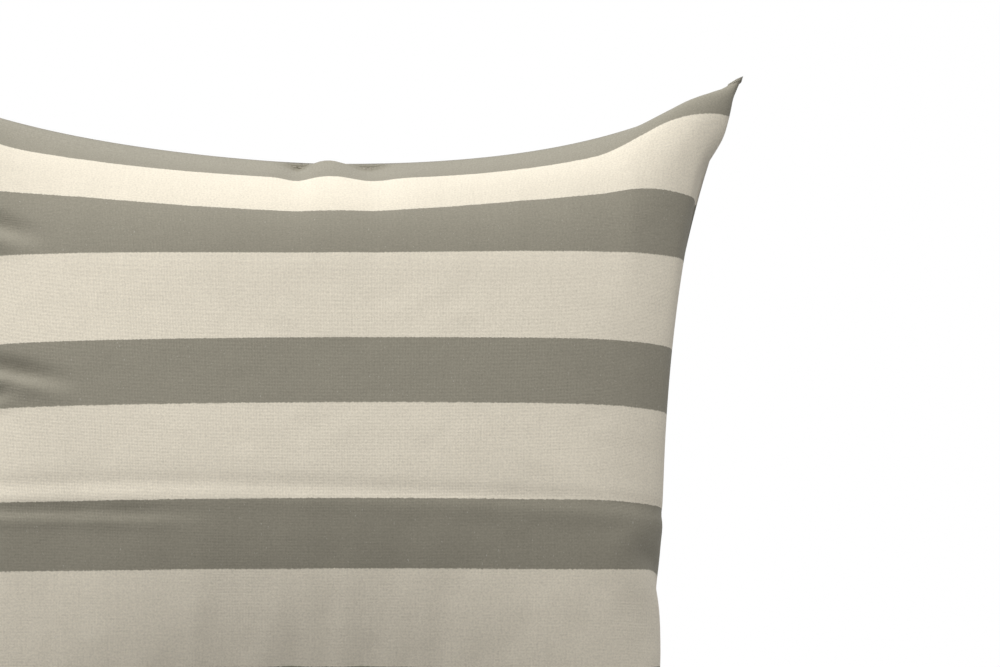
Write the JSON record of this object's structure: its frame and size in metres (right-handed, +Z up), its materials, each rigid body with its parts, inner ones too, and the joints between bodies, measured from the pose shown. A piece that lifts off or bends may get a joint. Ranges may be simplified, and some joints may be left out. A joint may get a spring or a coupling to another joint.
{
  "type": "throw pillow",
  "caption": "Square striped throw pillow standing on its lower edge, with a plump crowned body, pointed corners, a zip across the back and a removable filled insert.",
  "frame": {"origin": "on the floor under the middle of the pillow, at the centre of its box", "axes": "+X to the right seen from the front, +Y to the back where the zip is, +Z up"},
  "size_m": [0.484, 0.2002, 0.458],
  "materials": {
    "cover_cloth": "plain woven cotton, matt, with printed-width beige and grey-olive stripes woven across",
    "sewing_thread": "spun polyester thread",
    "zip_tape": "woven polyester zip tape",
    "zip_coil": "nylon coil, satin",
    "zip_metal": "die-cast zinc, nickel plated, satin",
    "insert_casing": "thin non-woven casing, matt",
    "polyester_fill": "hollow-fibre wadding",
    "label_tape": "blank satin label tape"
  },
  "bodies": {
    "pillow": {"cover_front": "cover_cloth", "cover_back_upper": "cover_cloth", "cover_back_lower": "cover_cloth", "seam_allowance": "cover_cloth", "seam_stitching": "sewing_thread", "zip_tape_upper": "zip_tape", "zip_tape_lower": "zip_tape", "zip_coil_upper": "zip_coil", "zip_coil_lower": "zip_coil", "zip_top_stops": "zip_metal", "zip_bottom_stop": "zip_metal", "zip_stitching": "sewing_thread", "zip_bartacks": "sewing_thread", "insert_front": "insert_casing", "insert_back": "insert_casing", "insert_overlock": "sewing_thread", "insert_fill": "polyester_fill", "care_label": "label_tape", "insert_label": "label_tape"},
    "slider": {"slider_body": "zip_metal"},
    "pull": {"pull_tab": "zip_metal"}
  },
  "joints": [
    {"name": "slider_travel", "type": "hinge", "parent": "pillow", "child": "slider", "pos_m": [0, -0.29693, 0.074], "axis": [0, 0, 1], "range_deg": [0, 41.7]},
    {"name": "pull_swing", "type": "hinge", "parent": "slider", "child": "pull", "pos_m": [0.14077, 0.07028, 0.07296], "axis": [0.9337, -0.358, 0], "range_deg": [-15, 150]}
  ]
}
